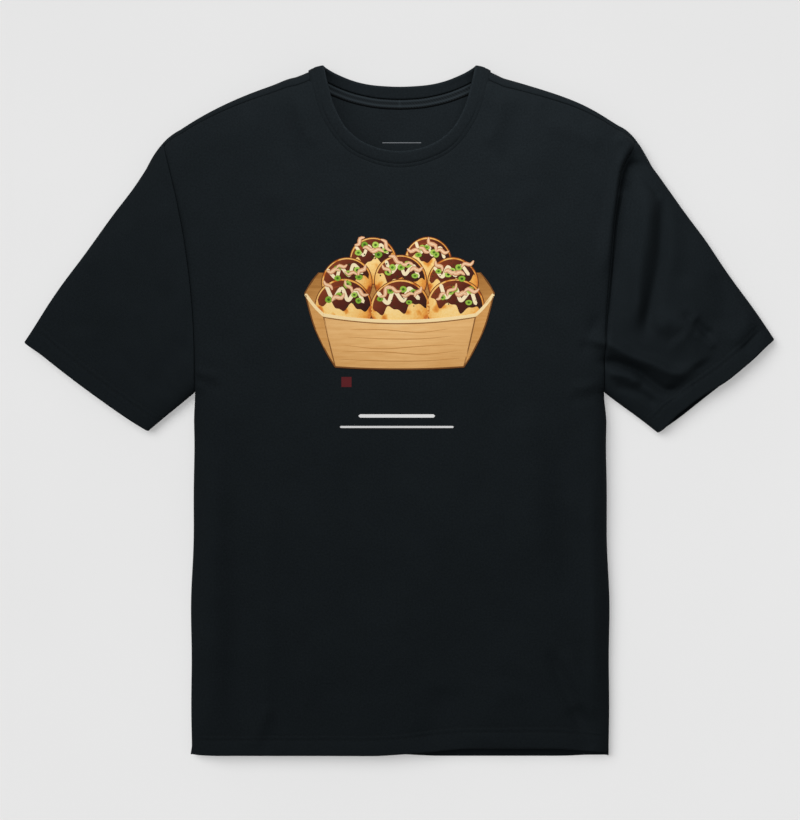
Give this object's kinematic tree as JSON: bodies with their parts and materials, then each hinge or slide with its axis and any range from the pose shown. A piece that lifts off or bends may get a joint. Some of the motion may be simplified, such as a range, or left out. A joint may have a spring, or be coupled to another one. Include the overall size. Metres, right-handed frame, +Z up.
{
  "type": "t-shirt",
  "caption": "Oversized short-sleeved crew-neck T-shirt of heavy jersey with a ribbed collar, laid flat on its back, front up.",
  "frame": {"origin": "on the surface the shirt lies on, below the middle of its outline", "axes": "+X towards the sleeve on the viewer's right, +Y from the hem to the collar, +Z up, from the back of the shirt to its front"},
  "size_m": [0.824, 0.7604, 0.0305],
  "materials": {
    "jersey": "matt combed cotton jersey, dyed black, with a faint nap",
    "rib_knit": "matt 1x1 cotton rib, dyed black",
    "neck_tape": "matt cotton herringbone tape, black"
  },
  "bodies": {
    "root": {"body_front": "jersey", "body_back": "jersey", "sleeve_right": "jersey", "sleeve_left": "jersey", "neck_rib": "rib_knit", "neck_tape": "neck_tape"}
  },
  "joints": []
}
